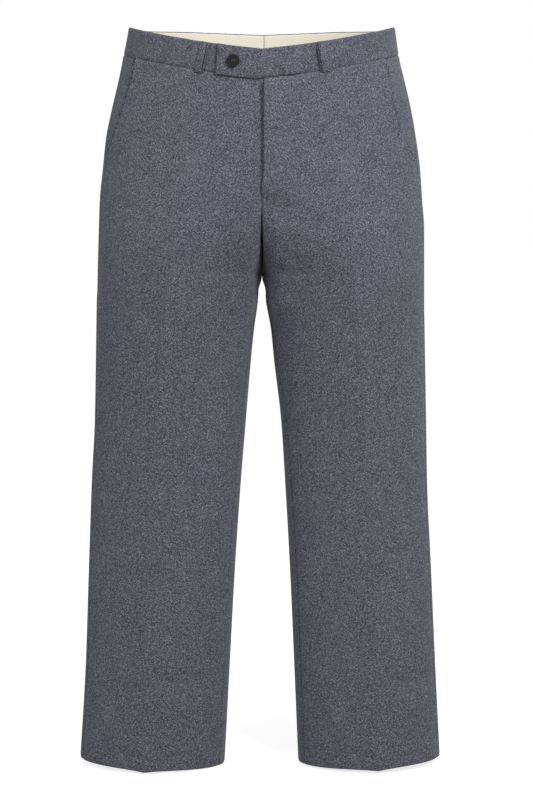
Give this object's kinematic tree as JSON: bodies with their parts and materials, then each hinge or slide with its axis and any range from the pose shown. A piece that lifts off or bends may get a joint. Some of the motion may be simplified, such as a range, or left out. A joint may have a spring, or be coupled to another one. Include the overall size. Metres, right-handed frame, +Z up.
{
  "type": "dress trousers",
  "caption": "Grey wool dress trousers, filled out with no wearer, with pressed creases, a buttoned tab and slant pockets.",
  "frame": {"origin": "middle of the waist opening, level with the top of the waistband at the side seams", "axes": "+Z up along the legs, -Y out of the front, +X to the wearer's left"},
  "size_m": [0.5172, 0.2593, 1.0628],
  "materials": {
    "wool": "matte",
    "lining": "matte",
    "horn": "satin"
  },
  "bodies": {
    "root": {"front_left": "wool", "front_right": "wool", "back_left": "wool", "back_right": "wool", "pocket_facing_left": "wool", "pocket_facing_right": "wool", "waistband_left": "wool", "waistband_right": "wool", "band_lining_left": "lining", "band_lining_right": "lining", "belt_loop_front_right": "wool", "belt_loop_front_left": "wool", "belt_loop_back_right": "wool", "belt_loop_back_left": "wool", "belt_loop_centre_back": "wool", "button": "horn"}
  },
  "joints": []
}
